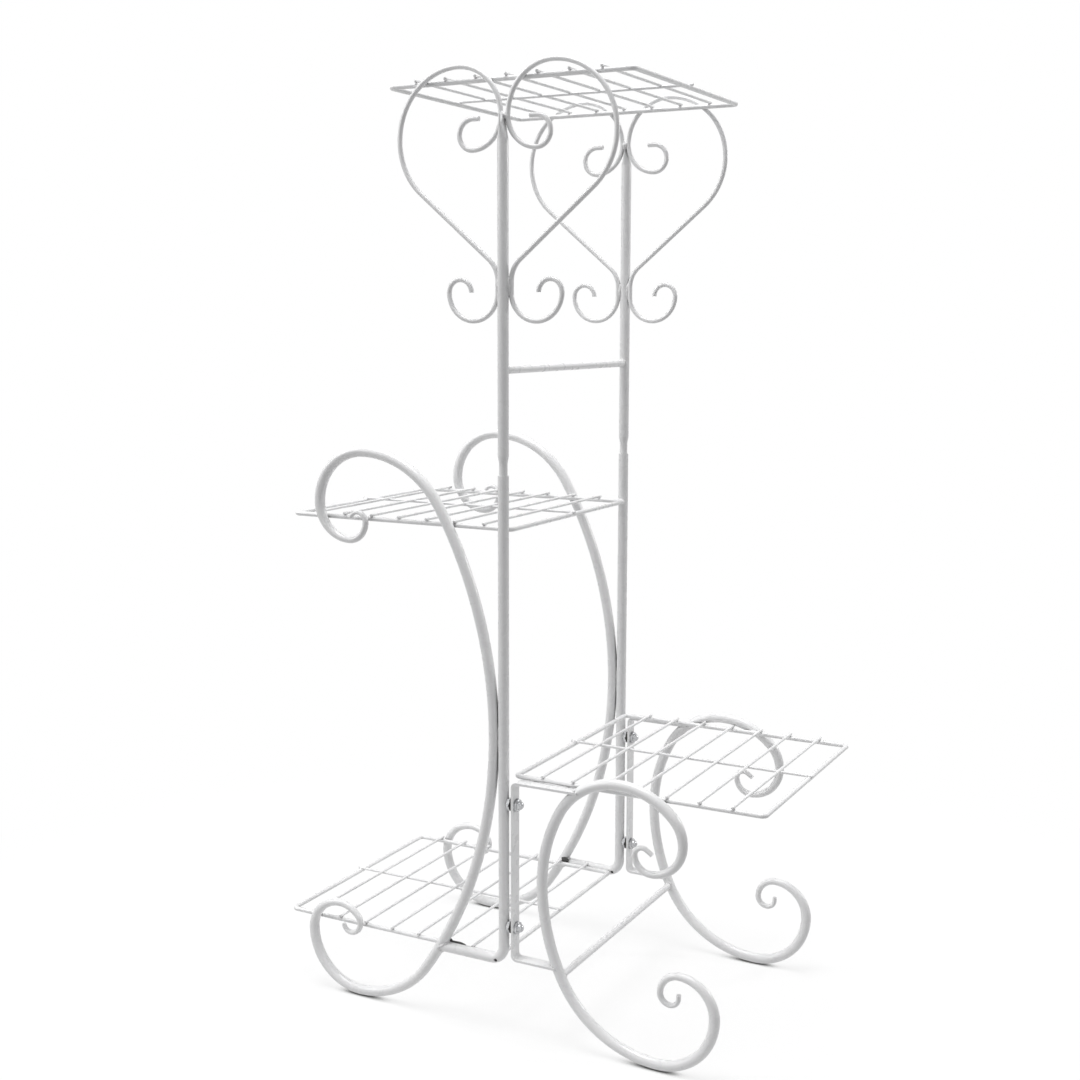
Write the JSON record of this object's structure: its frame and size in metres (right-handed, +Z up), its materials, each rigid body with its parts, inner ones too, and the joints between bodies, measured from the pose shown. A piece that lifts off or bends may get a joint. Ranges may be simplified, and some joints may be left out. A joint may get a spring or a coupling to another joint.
{
  "type": "tiered plant stand",
  "caption": "Tall plant stand of bent white steel bar and tube, with square wire shelves at stepped heights, scroll feet and heart-shaped top brackets.",
  "frame": {"origin": "on the floor, midway between the front and rear posts", "axes": "+Z up; +X from the posts towards the side shelf; Y from the front frame to the rear frame"},
  "size_m": [0.454, 0.2412, 0.794],
  "materials": {
    "white_coat": "satin white powder coat",
    "zinc_hardware": "bright zinc plate"
  },
  "bodies": {
    "lower_frame": {"bracket_front": "white_coat", "bracket_rear": "white_coat", "cap_nuts": "zinc_hardware", "left_scroll_front": "white_coat", "left_scroll_rear": "white_coat", "low_crossbar": "white_coat", "lower_post_front": "white_coat", "lower_post_rear": "white_coat", "lower_shelf_centre_wire": "white_coat", "lower_shelf_cross_wire_1": "white_coat", "lower_shelf_cross_wire_2": "white_coat", "lower_shelf_cross_wire_3": "white_coat", "lower_shelf_cross_wire_4": "white_coat", "lower_shelf_cross_wire_5": "white_coat", "lower_shelf_cross_wire_6": "white_coat", "lower_shelf_cross_wire_7": "white_coat", "lower_shelf_rim": "white_coat", "middle_shelf_centre_wire": "white_coat", "middle_shelf_cross_wire_1": "white_coat", "middle_shelf_cross_wire_2": "white_coat", "middle_shelf_cross_wire_3": "white_coat", "middle_shelf_cross_wire_4": "white_coat", "middle_shelf_cross_wire_5": "white_coat", "middle_shelf_cross_wire_6": "white_coat", "middle_shelf_cross_wire_7": "white_coat", "middle_shelf_rim": "white_coat", "mounting_studs": "zinc_hardware", "right_scroll_front": "white_coat", "right_scroll_rear": "white_coat", "side_shelf_centre_wire": "white_coat", "side_shelf_cross_wire_1": "white_coat", "side_shelf_cross_wire_2": "white_coat", "side_shelf_cross_wire_3": "white_coat", "side_shelf_cross_wire_4": "white_coat", "side_shelf_cross_wire_5": "white_coat", "side_shelf_cross_wire_6": "white_coat", "side_shelf_cross_wire_7": "white_coat", "side_shelf_rim": "white_coat", "spacer_nuts": "zinc_hardware"},
    "upper_frame": {"heart_rod_front_left": "white_coat", "heart_rod_front_right": "white_coat", "heart_rod_rear_left": "white_coat", "heart_rod_rear_right": "white_coat", "top_shelf_centre_wire": "white_coat", "top_shelf_cross_wire_1": "white_coat", "top_shelf_cross_wire_2": "white_coat", "top_shelf_cross_wire_3": "white_coat", "top_shelf_cross_wire_4": "white_coat", "top_shelf_cross_wire_5": "white_coat", "top_shelf_cross_wire_6": "white_coat", "top_shelf_cross_wire_7": "white_coat", "top_shelf_rim": "white_coat", "upper_crossbar": "white_coat", "upper_post_front": "white_coat", "upper_post_rear": "white_coat"}
  },
  "joints": [
    {"name": "upper_frame_lift", "type": "slide", "parent": "lower_frame", "child": "upper_frame", "axis": [0, 0, 1], "range_m": [0, 0.04]}
  ]
}
